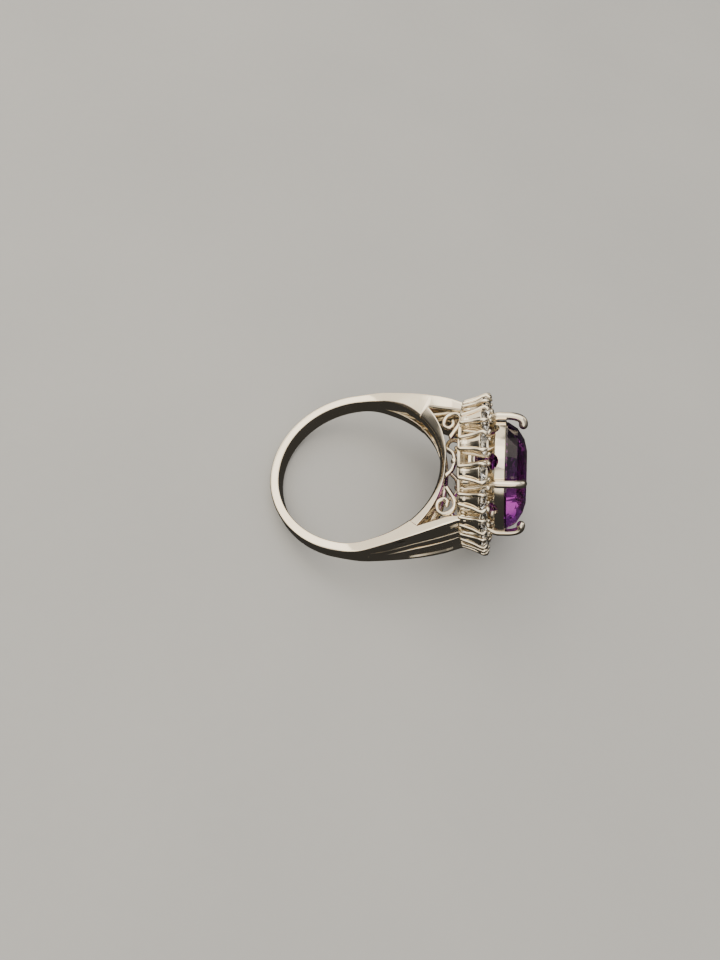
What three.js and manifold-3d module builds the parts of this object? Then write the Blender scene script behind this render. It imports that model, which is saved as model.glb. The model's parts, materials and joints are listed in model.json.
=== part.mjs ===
// A cluster cocktail ring lying on its side: an oval stone in four claws above an oval halo of
// small brilliants, on a band whose three-strand shoulders fork into a bridge and the halo.
//
// The ring is built upright, in millimetres, in a frame of its own:
//   X across the finger, Y along the finger, Z from the finger's centre up through the head.
// The last section lays it on its side, as it rests on a table, with +Z up and the head towards +X.
import * as THREE from "three";
import { ConvexGeometry } from "three/addons/geometries/ConvexGeometry.js";
import { mergeVertices } from "three/addons/utils/BufferGeometryUtils.js";
import Module from "manifold-3d";

const wasm = await Module();
wasm.setup();

// ---- Driving dimensions, in millimetres and degrees ----

const SOLDER_GAP = 0.04; // between neighbouring pieces that are soldered face to face

const FINGER_RADIUS = 8.65; // a 17.3 mm inside diameter
const BAND_THICKNESS = 0.96;
const BAND_WIDTH = 1.95;
const BAND_CHAMFER = 0.12;

const WIDENING_ANGLE = 98; // from +Z, where the band starts to widen towards the head
const SPLIT_ANGLE = 78; // from +Z, where it divides into strands
const SPLIT_WIDTH = 2.9; // of the three strands together, at the split
const SPLIT_THICKENING = 0.16; // how much thicker the band is there
const SHOULDER_WIDTH = 6.45; // of the three strands together, at the head
const FLARE_END_Z = 9.5; // where the shoulders reach their full width
const FLARE_EARLY = 0.45; // 0 widens them evenly with height, 1 as a quarter of a sine wave
const OUTER_LEAN = 0.42; // of their outer face at the head, inwards per mm of height
const INNER_LEAN = 0.15; // and of their inner face
const SIDE_SLOPE_LOW = 0.15; // the side faces narrow inwards by this much per mm of depth,
const SIDE_SLOPE_HIGH = 0.5; // and by this much from the fork upwards
const STRANDS = ["front", "middle", "back"];
const STRAND_GROOVE = 0.14; // between neighbouring strands
const MIDDLE_SHARE = 0.2; // the middle strand's share of their total width
const SHOULDER_TOP_Z = 10.86; // where the strands meet the gallery frame
const SHOULDER_OUTER_X = 7.05;
const SHOULDER_INNER_X = 6.1;
const FORK_AT = 0.57; // share of a strand's length at which its bridge rail leaves it
const FORK_STEP = 0.012; // share over which the strand narrows to its upper branch

const RAIL_THICKNESS = 0.6; // of a bridge rail, at its middle
const RAIL_HALF_WIDTH = 2.15; // from the ring's middle plane to a rail's outer side
const RAIL_SPLAY = 0.6; // by which that side leans inwards to the finger hole
const RAIL_SWELL = 1.5; // how far a rail goes on widening past the fork
const RAIL_INSIDE = 0.38; // place of its inner side, as a share of its outer side's

const FRAME_BASE_Z = 10.9; // underside of the gallery frame
const FRAME_HEIGHT = 0.32;
const FRAME_TOP_Z = FRAME_BASE_Z + FRAME_HEIGHT;
const SPOKES = 8;

const HALO_COUNT = 18;
const HALO_SEMI_X = 6.5; // the oval that the small settings stand on
const HALO_SEMI_Y = 7.85;
const HALO_LEAN = 9; // each small setting leans outwards
const HALO_BASE_Z = FRAME_TOP_Z + 0.12;
const SMALL_STONE_RADIUS = 1.02;
const SMALL_GIRDLE_Z = 2.0; // above the foot of its setting

const STONE_SEMI_X = 5.15; // the oval centre stone, a little over 10 x 12 mm
const STONE_SEMI_Y = 6.15;
const STONE_GIRDLE_Z = 15.32;
const STONE_CROWN = 2.0;
const STONE_PAVILION = 3.8;

const COLLET_BASE_Z = 12.05;
const COLLET_RIM_Z = 14.3; // it widens up to here, and its rim stands upright
const COLLET_TOP_Z = 15.26; // round the girdle
const COLLET_WALL = 0.45;
const CLAW_AZIMUTH = 52.6; // from +X, mirrored to make four

// ---- Materials ----

const silver = new THREE.MeshStandardMaterial({ color: 0xe2dccf, roughness: 0.16, metalness: 1 });
const amethyst = new THREE.MeshStandardMaterial({ color: 0x4a1a78, roughness: 0.04, metalness: 0 });
const whiteStone = new THREE.MeshStandardMaterial({ color: 0xf1f3f5, roughness: 0.03, metalness: 0 });

// ---- Shape tools ----

const rad = THREE.MathUtils.degToRad;
const lerp = THREE.MathUtils.lerp;
const v3 = (x, y, z) => new THREE.Vector3(x, y, z);

// Joins rings of points into one closed solid. A looped loft joins its last ring to its first.
function loft(rings, looped = false) {
  const count = rings[0].length;
  const points = rings.flat();
  const index = [];
  const spans = looped ? rings.length : rings.length - 1;
  for (let i = 0; i < spans; i++) {
    const here = i * count;
    const next = ((i + 1) % rings.length) * count;
    for (let j = 0; j < count; j++) {
      const k = (j + 1) % count;
      index.push(here + j, here + k, next + k, here + j, next + k, next + j);
    }
  }
  if (!looped) {
    for (const [ring, start, facing] of [
      [rings[0], 0, -1],
      [rings.at(-1), (rings.length - 1) * count, 1],
    ]) {
      const centre = ring.reduce((sum, p) => sum.add(p), v3(0, 0, 0)).divideScalar(count);
      points.push(centre);
      for (let j = 0; j < count; j++) {
        const k = (j + 1) % count;
        const edge = facing > 0 ? [start + j, start + k] : [start + k, start + j];
        index.push(...edge, points.length - 1);
      }
    }
  }
  const geometry = new THREE.BufferGeometry().setFromPoints(points);
  geometry.setIndex(index);
  return facingOut(geometry);
}

// Turns a closed geometry's faces round if they point inwards.
function facingOut(geometry) {
  const position = geometry.getAttribute("position");
  const index = geometry.getIndex().array;
  const corner = (i) => v3().fromBufferAttribute(position, index[i]);
  let volume = 0;
  for (let i = 0; i < index.length; i += 3) {
    volume += corner(i).dot(corner(i + 1).cross(corner(i + 2)));
  }
  if (volume < 0) {
    for (let i = 0; i < index.length; i += 3) {
      [index[i + 1], index[i + 2]] = [index[i + 2], index[i + 1]];
    }
  }
  return geometry;
}

// A round wire through centre points, each with its own radius. Its section stands on sideways,
// a direction that is never along the wire.
function wire(path, sideways, sides = 8, looped = false) {
  const last = path.length - 1;
  const rings = path.map(({ at, radius }, i) => {
    const before = path[looped ? (i + last) % path.length : Math.max(i - 1, 0)].at;
    const after = path[looped ? (i + 1) % path.length : Math.min(i + 1, last)].at;
    const along = after.clone().sub(before).normalize();
    const across = sideways.clone().addScaledVector(along, -sideways.dot(along)).normalize();
    const up = along.clone().cross(across);
    return Array.from({ length: sides }, (_, j) => {
      const turn = (j / sides + 0.25) * Math.PI * 2;
      return at
        .clone()
        .addScaledVector(across, radius * Math.cos(turn))
        .addScaledVector(up, radius * Math.sin(turn));
    });
  });
  return loft(rings, looped);
}

// An oval hoop. profile lists [outwards, z] points round its section, measured from the oval.
function ovalHoop(semiX, semiY, profile, steps = 40) {
  const rings = Array.from({ length: steps }, (_, i) => {
    const t = (i / steps) * Math.PI * 2;
    const foot = v3(semiX * Math.cos(t), semiY * Math.sin(t), 0);
    const outwards = v3(Math.cos(t) / semiX, Math.sin(t) / semiY, 0).normalize();
    return profile.map(([out, z]) => foot.clone().addScaledVector(outwards, out).setZ(z));
  });
  return loft(rings, true);
}

// A cut stone: the convex hull of its tiers. Each tier is [share of the girdle, height, corners, turn].
function cutStone(semiX, semiY, tiers) {
  const points = tiers.flatMap(([share, z, corners, turn]) =>
    Array.from({ length: corners }, (_, i) => {
      const t = ((i + turn) / corners) * Math.PI * 2;
      return v3(semiX * share * Math.cos(t), semiY * share * Math.sin(t), z);
    }),
  );
  return new ConvexGeometry(points);
}

function toSolid(geometry) {
  const bare = geometry.clone();
  bare.deleteAttribute("normal");
  bare.deleteAttribute("uv");
  const merged = mergeVertices(bare, 1e-4);
  return new wasm.Manifold(
    new wasm.Mesh({
      numProp: 3,
      vertProperties: new Float32Array(merged.getAttribute("position").array),
      triVerts: new Uint32Array(merged.getIndex().array),
    }),
  );
}

function toGeometry(solid) {
  const { vertProperties, triVerts } = solid.getMesh();
  const geometry = new THREE.BufferGeometry();
  geometry.setAttribute("position", new THREE.BufferAttribute(vertProperties, 3));
  geometry.setIndex(new THREE.BufferAttribute(triVerts, 1));
  return geometry;
}

const union = (geometries) => toGeometry(geometries.map(toSolid).reduce((a, b) => a.add(b)));
const cut = (geometry, cutters) =>
  toGeometry(cutters.map(toSolid).reduce((a, b) => a.subtract(b), toSolid(geometry)));

const ring = new THREE.Group(); // the ring in its own upright frame

function place(name, geometry, material) {
  geometry.computeVertexNormals();
  const mesh = new THREE.Mesh(geometry, material);
  mesh.name = name;
  ring.add(mesh);
  return mesh;
}

// ---- Band ----

// A point of the finger circle's plane, at an angle in degrees from +Z.
const onCircle = (radius, angle, y = 0) =>
  v3(radius * Math.sin(rad(angle)), y, radius * Math.cos(rad(angle)));

// Section of the band at an angle: a rectangle with chamfered outer corners.
function bandRing(angle) {
  const fromTop = Math.min(angle, 360 - angle);
  const toSplit = Math.max((WIDENING_ANGLE - fromTop) / (WIDENING_ANGLE - SPLIT_ANGLE), 0);
  const thickening = SPLIT_THICKENING * THREE.MathUtils.smoothstep(toSplit, 0, 1);
  const outer = FINGER_RADIUS + BAND_THICKNESS + thickening;
  const half = lerp(BAND_WIDTH, SPLIT_WIDTH, toSplit ** 2) / 2;
  const innerHalf = half - SIDE_SLOPE_LOW * BAND_THICKNESS * toSplit;
  const shoulderHalf = lerp(half, innerHalf, BAND_CHAMFER / BAND_THICKNESS);
  return [
    onCircle(FINGER_RADIUS, angle, -innerHalf),
    onCircle(outer - BAND_CHAMFER, angle, -shoulderHalf),
    onCircle(outer, angle, -half + 2 * BAND_CHAMFER),
    onCircle(outer, angle, half - 2 * BAND_CHAMFER),
    onCircle(outer - BAND_CHAMFER, angle, shoulderHalf),
    onCircle(FINGER_RADIUS, angle, innerHalf),
  ];
}

function buildBand() {
  const start = SPLIT_ANGLE + THREE.MathUtils.radToDeg(SOLDER_GAP / FINGER_RADIUS);
  const steps = 52;
  const rings = Array.from({ length: steps + 1 }, (_, i) => bandRing(lerp(start, 360 - start, i / steps)));
  place("shank", loft(rings), silver);
}

// ---- Shoulders ----

// Both faces of a shoulder leave the band along its circle and rise steeply to the gallery frame.
function shoulderCurve(startRadius, endX, reach, lean) {
  const start = onCircle(startRadius, SPLIT_ANGLE);
  const leaving = onCircle(1, SPLIT_ANGLE - 90);
  const end = v3(endX, 0, SHOULDER_TOP_Z);
  const arriving = v3(-lean, 0, 1).normalize();
  return new THREE.CubicBezierCurve3(
    start,
    start.clone().addScaledVector(leaving, reach),
    end.clone().addScaledVector(arriving, -reach),
    end,
  );
}
const SPLIT_RADIUS = FINGER_RADIUS + BAND_THICKNESS + SPLIT_THICKENING;
const outerFace = shoulderCurve(SPLIT_RADIUS, SHOULDER_OUTER_X, 3, OUTER_LEAN);
const innerFace = shoulderCurve(FINGER_RADIUS, SHOULDER_INNER_X, 3.2, INNER_LEAN);

// Half the total width of the three strands, at a height and a depth below the outer face.
const SPLIT_Z = FINGER_RADIUS * Math.cos(rad(SPLIT_ANGLE));
function shoulderHalf(z, depth) {
  const t = THREE.MathUtils.clamp((z - SPLIT_Z) / (FLARE_END_Z - SPLIT_Z), 0, 1);
  const flare = lerp(t, Math.sin((t * Math.PI) / 2), FLARE_EARLY);
  const slope = lerp(SIDE_SLOPE_LOW, SIDE_SLOPE_HIGH, THREE.MathUtils.smoothstep(z, SPLIT_Z, 6.5));
  return lerp(SPLIT_WIDTH, SHOULDER_WIDTH, flare) / 2 - slope * depth;
}

// Place along the finger of a point of one strand: row is 1 front, 0 middle, -1 back, and across
// runs from -0.5 to 0.5 over the strand's own width.
function strandY(half, row, across) {
  const division = half * MIDDLE_SHARE; // the middle of the groove beside the middle strand
  const width = row === 0 ? 2 * division - STRAND_GROOVE : half - division - STRAND_GROOVE / 2;
  return row * (half - width / 2) + across * width;
}

// The rounded outer side of a strand: [share of its width, depth below the outer face].
const STRAND_CROWN = [
  [0.5, 0.3],
  [0.32, 0.07],
  [0, 0],
  [-0.32, 0.07],
  [-0.5, 0.3],
];

function strandRing(u, row, inner) {
  const outer = outerFace.getPoint(u);
  const inwards = inner.clone().sub(outer);
  const depth = inwards.length();
  // the outer strands close in a little near the top, following the oval of the gallery frame
  const ovalShift = 0.13 * Math.abs(row) * u * u;
  return [[-0.5, depth], [0.5, depth], ...STRAND_CROWN].map(([across, below]) => {
    const p = outer.clone().addScaledVector(inwards, below / depth);
    return v3(p.x - ovalShift, strandY(shoulderHalf(outer.z, below), row, across), p.z);
  });
}

// The outer strands fill the fork as far as the bridge rail, so their inner face starts on the
// finger circle and steps out to the branch where the rail begins. The middle strand has no rail.
function strand(row) {
  const steps = 12;
  const onFinger = (u) => innerFace.getPoint(u).setLength(FINGER_RADIUS);
  const shares = Array.from({ length: steps + 1 }, (_, i) => i / steps);
  if (row === 0) {
    return loft(shares.map((u) => strandRing(u, row, innerFace.getPoint(u))));
  }
  const below = [...shares.filter((u) => u < FORK_AT - FORK_STEP), FORK_AT];
  const above = [FORK_AT + FORK_STEP, ...shares.filter((u) => u > FORK_AT + 2 * FORK_STEP)];
  return loft([
    ...below.map((u) => strandRing(u, row, onFinger(u))),
    ...above.map((u) => strandRing(u, row, innerFace.getPoint(u))),
  ]);
}

// The same geometry on the other side of the finger.
function mirroredX(geometry) {
  return facingOut(geometry.clone().applyMatrix4(new THREE.Matrix4().makeScale(-1, 1, 1)));
}

function buildShoulders() {
  STRANDS.forEach((where, i) => {
    const geometry = strand(1 - i);
    place(`shoulder_right_${where}`, geometry, silver);
    place(`shoulder_left_${where}`, mirroredX(geometry), silver);
  });
}

// ---- Bridge rails: the finger circle carried on under the head ----

const angleOf = (p) => THREE.MathUtils.radToDeg(Math.atan2(p.x, p.z));
const arcDegrees = (length, radius) => THREE.MathUtils.radToDeg(length / radius);

function buildBridgeRails() {
  const forkOuter = outerFace.getPoint(FORK_AT);
  const crotch = innerFace.getPoint(FORK_AT + FORK_STEP);
  const innerEnd = angleOf(innerFace.getPoint(FORK_AT)) - arcDegrees(SOLDER_GAP, FINGER_RADIUS);
  const outerEnd = angleOf(crotch) - arcDegrees(SOLDER_GAP, crotch.length());
  const innerHalf = shoulderHalf(forkOuter.z, forkOuter.length() - FINGER_RADIUS);
  const outerHalf = shoulderHalf(forkOuter.z, forkOuter.length() - crotch.length());
  const steps = 20;
  const rings = Array.from({ length: steps + 1 }, (_, i) => {
    const along = lerp(-1, 1, i / steps);
    const toEnd = Math.abs(along);
    const widening = toEnd ** 2 * (3 - 2 * toEnd + RAIL_SWELL * (1 - toEnd));
    const outer = lerp(FINGER_RADIUS + RAIL_THICKNESS, crotch.length() - SOLDER_GAP, toEnd ** 1.3);
    const high = lerp(RAIL_HALF_WIDTH, outerHalf, widening);
    const low = high - lerp(RAIL_SPLAY, outerHalf - innerHalf, toEnd ** 6);
    return [
      onCircle(FINGER_RADIUS, innerEnd * along, RAIL_INSIDE * low),
      onCircle(outer, outerEnd * along, RAIL_INSIDE * high),
      onCircle(outer, outerEnd * along, high),
      onCircle(FINGER_RADIUS, innerEnd * along, low),
    ];
  });
  const front = loft(rings);
  place("bridge_rail_front", front, silver);
  place("bridge_rail_back", mirroredY(front), silver);
}

function mirroredY(geometry) {
  return facingOut(geometry.clone().applyMatrix4(new THREE.Matrix4().makeScale(1, -1, 1)));
}

// ---- Gallery: scrolls and arches between the bridge rails and the frame ----

const WIRE_RADIUS = 0.26;
const ARCH_WIRE_RADIUS = 0.22;

// A scroll's middle line: [x, z], from its straight tail round to the curled end.
const SCROLL_LINE = [
  [3.05, 9.68],
  [3.65, 10.05],
  [4.3, 10.42],
  [4.98, 10.6],
  [5.55, 10.4],
  [5.84, 9.92],
  [5.84, 9.36],
  [5.5, 8.98],
  [4.95, 8.82],
  [4.42, 8.95],
  [4.2, 9.42],
  [4.5, 9.82],
  [4.95, 9.78],
];
const GALLERY_Y = 2.25; // of the wires at the bridge rail; they lean outwards as they rise
const galleryPoint = ([x, z]) => v3(x, GALLERY_Y + 0.3 * (z - 8.8), z);

function scroll() {
  const line = new THREE.CatmullRomCurve3(SCROLL_LINE.map(galleryPoint));
  const path = line.getSpacedPoints(30).map((at, i) => ({
    at,
    radius: WIRE_RADIUS * lerp(1, 0.8, i / 30),
  }));
  return wire(path, v3(0, 1, -0.3), 6);
}

// An arch over the middle of a bridge rail, with a bead at its crown.
const ARCH_LINE = [
  [-1.5, 9.52],
  [-1.05, 9.98],
  [-0.45, 10.2],
  [0, 10.25],
  [0.45, 10.2],
  [1.05, 9.98],
  [1.5, 9.52],
];
const BEAD_RADIUS = 0.4;

function arch() {
  const line = new THREE.CatmullRomCurve3(ARCH_LINE.map(galleryPoint));
  const path = line.getPoints(24).map((at) => ({
    at,
    radius: Math.max(ARCH_WIRE_RADIUS, Math.sqrt(Math.max(BEAD_RADIUS ** 2 - at.x ** 2, 0))),
  }));
  return wire(path, v3(0, 1, -0.3), 6);
}

function buildGallery() {
  const right = scroll();
  place("scroll_front_right", right, silver);
  place("scroll_front_left", mirroredX(right), silver);
  place("scroll_back_right", mirroredY(right), silver);
  place("scroll_back_left", mirroredY(mirroredX(right)), silver);
  place("arch_front", arch(), silver);
  place("arch_back", mirroredY(arch()), silver);
}

// ---- Gallery frame: an outer oval rail for the halo, an inner one for the centre, and spokes ----

function flatHoop(semiX, semiY, width) {
  const half = width / 2;
  return ovalHoop(semiX, semiY, [
    [-half, FRAME_BASE_Z],
    [half, FRAME_BASE_Z],
    [half, FRAME_TOP_Z],
    [-half, FRAME_TOP_Z],
  ]);
}

function buildFrame() {
  const outer = flatHoop(HALO_SEMI_X, HALO_SEMI_Y, 0.56);
  const inner = flatHoop(4.6, 5.55, 1.1);
  const spokes = Array.from({ length: SPOKES }, (_, i) => {
    const t = ((i + 0.5) / SPOKES) * Math.PI * 2;
    const from = v3(4.6 * Math.cos(t), 5.55 * Math.sin(t), 0);
    const to = v3(HALO_SEMI_X * Math.cos(t), HALO_SEMI_Y * Math.sin(t), 0);
    const box = new THREE.BoxGeometry(from.distanceTo(to), 0.5, FRAME_HEIGHT - 0.1);
    box.rotateZ(Math.atan2(to.y - from.y, to.x - from.x));
    box.translate((from.x + to.x) / 2, (from.y + to.y) / 2, FRAME_BASE_Z + FRAME_HEIGHT / 2);
    return box;
  });
  place("gallery_frame", union([outer, inner, ...spokes]), silver);
}

// ---- Halo: eighteen small four-prong settings, each with its brilliant ----

// A hoop turned on the setting's own axis.
const turned = (profile, segments) =>
  facingOut(mergeVertices(bare(new THREE.LatheGeometry(profile, segments).rotateX(Math.PI / 2)), 1e-4));

function bare(geometry) {
  geometry.deleteAttribute("normal");
  geometry.deleteAttribute("uv");
  return geometry;
}

const profileOf = (pairs) => [...pairs, pairs[0]].map(([r, z]) => new THREE.Vector2(r, z));

// A prong in the plane at an azimuth. stations lists [distance from the axis, height, radius].
function prong(stations, azimuth, sides) {
  const outwards = v3(Math.cos(azimuth), Math.sin(azimuth), 0);
  const path = stations.map(([out, z, radius]) => ({
    at: outwards.clone().multiplyScalar(out).setZ(z),
    radius,
  }));
  return wire(path, v3(-outwards.y, outwards.x, 0), sides);
}

const SMALL_PRONG = [
  [0.76, 0.14, 0.21],
  [0.98, 1.1, 0.21],
  [1.24, 1.9, 0.21],
  [1.23, 2.26, 0.22],
  [1.0, 2.42, 0.15],
];
// Section of the cup between the prongs: [distance from its axis, height], open at the culet.
const SMALL_CUP = [
  [0.14, 0],
  [0.64, 0],
  [0.72, 0.28],
  [0.64, 0.5],
  [0.8, 1.2],
  [1.1, 1.84],
  [1.0, 1.9],
  [0.56, 1.42],
  [0.14, 1.02],
];

function smallSetting() {
  const cup = turned(profileOf(SMALL_CUP), 10);
  const prongs = [45, 135, 225, 315].map((azimuth) => prong(SMALL_PRONG, rad(azimuth), 5));
  return union([cup, ...prongs]);
}

function smallStone() {
  return cutStone(SMALL_STONE_RADIUS, SMALL_STONE_RADIUS, [
    [0.56, SMALL_GIRDLE_Z + 0.36, 8, 0],
    [0.8, SMALL_GIRDLE_Z + 0.22, 8, 0.5],
    [1, SMALL_GIRDLE_Z + 0.03, 16, 0],
    [1, SMALL_GIRDLE_Z - 0.03, 16, 0],
    [0.46, SMALL_GIRDLE_Z - 0.52, 8, 0.5],
    [0.03, SMALL_GIRDLE_Z - 0.88, 4, 0],
  ]);
}

// Stands a small setting on the oval, its axis leaning outwards.
function standOnHalo(mesh, foot) {
  const outwards = v3(foot.x / HALO_SEMI_X ** 2, foot.y / HALO_SEMI_Y ** 2, 0).normalize();
  const axis = outwards.clone().multiplyScalar(Math.sin(rad(HALO_LEAN))).setZ(Math.cos(rad(HALO_LEAN)));
  const side = v3(-outwards.y, outwards.x, 0);
  mesh.quaternion.setFromRotationMatrix(
    new THREE.Matrix4().makeBasis(side.clone().cross(axis), side, axis),
  );
  mesh.position.set(foot.x, foot.y, HALO_BASE_Z);
}

function buildHalo() {
  const oval = new THREE.EllipseCurve(0, 0, HALO_SEMI_X, HALO_SEMI_Y);
  const setting = smallSetting();
  const stone = smallStone();
  oval.getSpacedPoints(HALO_COUNT).slice(0, HALO_COUNT).forEach((foot, i) => {
    const number = String(i + 1).padStart(2, "0");
    standOnHalo(place(`halo_setting_${number}`, setting.clone(), silver), foot);
    standOnHalo(place(`halo_stone_${number}`, stone.clone(), whiteStone), foot);
  });
}

// ---- Centre: seat ring, pierced collet, four claws and the oval stone ----

// The centre stone, or a copy grown by a gap to cut room for it.
function centreStone(gap = 0) {
  const grow = 1 + gap / STONE_SEMI_X;
  const geometry = cutStone(STONE_SEMI_X * grow, STONE_SEMI_Y * grow, [
    [0.5, STONE_CROWN + gap, 12, 0],
    [0.7, STONE_CROWN * 0.86 + gap, 12, 0.5],
    [0.89, STONE_CROWN * 0.53 + gap, 24, 0],
    [1, 0.12, 24, 0.5],
    [1, -0.12, 24, 0.5],
    [0.8, -STONE_PAVILION * 0.34, 24, 0],
    [0.42, -STONE_PAVILION * 0.74, 12, 0.5],
    [0.04, -STONE_PAVILION - gap, 4, 0],
  ]);
  return geometry.translate(0, 0, STONE_GIRDLE_Z);
}

// The collet widens as far as its upright rim: its wall's middle line at a height.
const colletSemiX = (z) => lerp(3.95, 5.12, Math.min((z - FRAME_TOP_Z) / (COLLET_RIM_Z - FRAME_TOP_Z), 1));
const colletSemiY = (z) => colletSemiX(z) + 0.98;

// A hoop of the collet's wall through the given heights.
function colletHoop(heights, wall) {
  const semiX = colletSemiX(heights[0]);
  const side = (offset, z) => [colletSemiX(z) - semiX + offset, z];
  return ovalHoop(semiX, colletSemiY(heights[0]), [
    ...heights.map((z) => side(wall / 2, z)),
    ...heights.toReversed().map((z) => side(-wall / 2, z)),
  ]);
}

// An arched window through the collet wall, facing outwards at an azimuth.
function windowCutter(t) {
  const shape = new THREE.Shape();
  const half = 0.82;
  shape.moveTo(-half, COLLET_BASE_Z + 0.35);
  shape.lineTo(half, COLLET_BASE_Z + 0.35);
  shape.lineTo(half, COLLET_TOP_Z - 1.42);
  shape.absarc(0, COLLET_TOP_Z - 1.42, half, 0, Math.PI, false);
  const cutter = new THREE.ExtrudeGeometry(shape, { depth: 3, bevelEnabled: false, curveSegments: 5 });
  cutter.rotateX(Math.PI / 2); // the window's height now runs along Z and its depth along -Y
  const foot = v3(colletSemiX(13) * Math.cos(t), colletSemiY(13) * Math.sin(t), 0);
  const facing = Math.atan2(Math.sin(t) / colletSemiY(13), Math.cos(t) / colletSemiX(13));
  cutter.translate(0, 1.5, 0);
  cutter.rotateZ(facing + Math.PI / 2);
  cutter.translate(foot.x, foot.y, 0);
  return mergeVertices(bare(cutter), 1e-4);
}

const CLAW = [
  [5.28, FRAME_TOP_Z + SOLDER_GAP, 0.4],
  [5.29, FRAME_TOP_Z + 0.3, 0.4],
  [5.65, 12.6, 0.38],
  [6.13, 13.7, 0.38],
  [6.4, 14.4, 0.38],
  [6.41, 15.2, 0.38],
  [6.37, 15.9, 0.39],
  [6.2, 16.5, 0.42],
  [5.88, 16.86, 0.45],
  [5.45, 16.95, 0.44],
  [5.12, 16.88, 0.28],
];

function buildCentre() {
  place("centre_seat_ring", colletHoop([FRAME_TOP_Z + SOLDER_GAP, COLLET_BASE_Z - SOLDER_GAP], 0.5), silver);

  const wall = colletHoop([COLLET_BASE_Z, COLLET_RIM_Z, COLLET_TOP_Z], COLLET_WALL);
  const windowAzimuths = [20, 70, 110, 160, 200, 250, 290, 340].map(rad);
  place("centre_collet", cut(wall, [...windowAzimuths.map(windowCutter), centreStone(0.05)]), silver);

  [CLAW_AZIMUTH, 180 - CLAW_AZIMUTH, 180 + CLAW_AZIMUTH, -CLAW_AZIMUTH].forEach((azimuth, i) => {
    const claw = cut(prong(CLAW, rad(azimuth), 8), [centreStone(0.05)]);
    place(`claw_${i + 1}`, claw, silver);
  });

  place("centre_stone", centreStone(), amethyst);
}

// ---- Assembly ----

buildBand();
buildShoulders();
buildBridgeRails();
buildGallery();
buildFrame();
buildHalo();
buildCentre();

// The ring lies on the back of its band and on the edge of the halo. The floor is the line, in its
// own YZ plane, through the band's lowest corner with every other point above it.
function restingTilt() {
  ring.updateMatrixWorld(true);
  const heel = { y: -BAND_WIDTH / 2, z: -(FINGER_RADIUS + BAND_THICKNESS - BAND_CHAMFER) };
  let slope = 0;
  ring.traverse((mesh) => {
    if (!mesh.isMesh) return;
    const position = mesh.geometry.getAttribute("position");
    for (let i = 0; i < position.count; i++) {
      const p = v3().fromBufferAttribute(position, i).applyMatrix4(mesh.matrixWorld);
      if (p.z > 0) slope = Math.max(slope, (heel.y - p.y) / (p.z - heel.z));
    }
  });
  return Math.atan(slope);
}

const tilt = restingTilt();
ring.quaternion.setFromRotationMatrix(
  new THREE.Matrix4().makeBasis(
    v3(0, 1, 0),
    v3(-Math.sin(tilt), 0, Math.cos(tilt)),
    v3(Math.cos(tilt), 0, Math.sin(tilt)),
  ),
);

// The origin is on the floor, under the middle of the lying ring.
const box = new THREE.Box3().setFromObject(ring, true);
const middle = box.getCenter(v3());
ring.position.set(-middle.x, -middle.y, -box.min.z);

const object = new THREE.Group();
object.add(ring);
export default object;
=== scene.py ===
import math

import bmesh
import bpy
from mathutils import Matrix, Vector
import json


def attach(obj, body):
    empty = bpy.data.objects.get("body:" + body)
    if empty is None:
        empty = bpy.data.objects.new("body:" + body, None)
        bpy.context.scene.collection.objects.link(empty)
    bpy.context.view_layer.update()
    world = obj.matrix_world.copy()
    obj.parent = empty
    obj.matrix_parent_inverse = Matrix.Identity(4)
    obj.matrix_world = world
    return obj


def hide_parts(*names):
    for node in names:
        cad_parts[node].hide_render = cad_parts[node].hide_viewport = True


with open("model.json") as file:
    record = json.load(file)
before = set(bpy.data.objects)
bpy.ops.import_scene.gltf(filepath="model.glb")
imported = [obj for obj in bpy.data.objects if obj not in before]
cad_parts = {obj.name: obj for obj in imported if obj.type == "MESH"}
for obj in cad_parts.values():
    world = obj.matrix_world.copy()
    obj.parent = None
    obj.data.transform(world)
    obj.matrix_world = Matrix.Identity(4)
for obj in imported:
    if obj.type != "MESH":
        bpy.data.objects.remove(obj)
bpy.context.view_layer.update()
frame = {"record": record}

# Looks of a cluster cocktail ring lying on its side. Shapes are worked out in millimetres in the
# ring's own frame: X across the finger, Y along it, Z from the finger's centre through the head.

# ---- The ring's frame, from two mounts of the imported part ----

MM = 0.001
STONE_GIRDLE_Z = 15.32
STONE_CROWN = 2.0

mounts = {mount["name"]: mount for mount in frame["record"]["mounts"]}
HEAD = Vector(mounts["stone_table"]["axis"]).normalized()
FINGER = -Vector(mounts["shank_side_rest"]["axis"]).normalized()
HOLE = Vector(mounts["stone_table"]["pos_m"]) - HEAD * (STONE_GIRDLE_Z + STONE_CROWN) * MM
TO_ROW = Matrix.Translation(HOLE) @ Matrix([FINGER.cross(HEAD), FINGER, HEAD]).transposed().to_4x4()
TO_ROW = TO_ROW @ Matrix.Scale(MM, 4)

# ---- Driving dimensions, in millimetres and degrees ----

FINGER_RADIUS = 8.65
BAND_THICKNESS = 0.96
BAND_HALF = 0.975  # half of the band's width
WIDENING_ANGLE = 98  # from +Z, where the band starts to widen towards the head
SPLIT_ANGLE = 78  # from +Z, where it divides into strands
SPLIT_HALF = 1.45  # half the width of the three strands together, at the split
SPLIT_THICKENING = 0.16  # how much thicker the band is there
SHOULDER_HALF = 3.225  # half the width of the three strands together, at the head
FLARE_END_Z = 9.5  # where the shoulders reach their full width
FLARE_EARLY = 0.45  # 0 widens them evenly with height, 1 as a quarter of a sine wave
OUTER_LEAN, INNER_LEAN = 0.42, 0.15  # of their faces at the head, inwards per mm of height
SIDE_SLOPES = (0.12, 0.42)  # the side faces narrow inwards by this much per mm, at the split and the fork
STRAND_GROOVE = 0.14  # between neighbouring strands
MIDDLE_SHARE = 0.2  # the middle strand's share of their total width
SHOULDER_TOP_Z = 10.86  # where the strands meet the gallery frame
SHOULDER_OUTER_X = 7.05
SHOULDER_INNER_X = 6.1
FORK_AT = 0.57  # share of a strand's length at which its bridge rail leaves it

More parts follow.
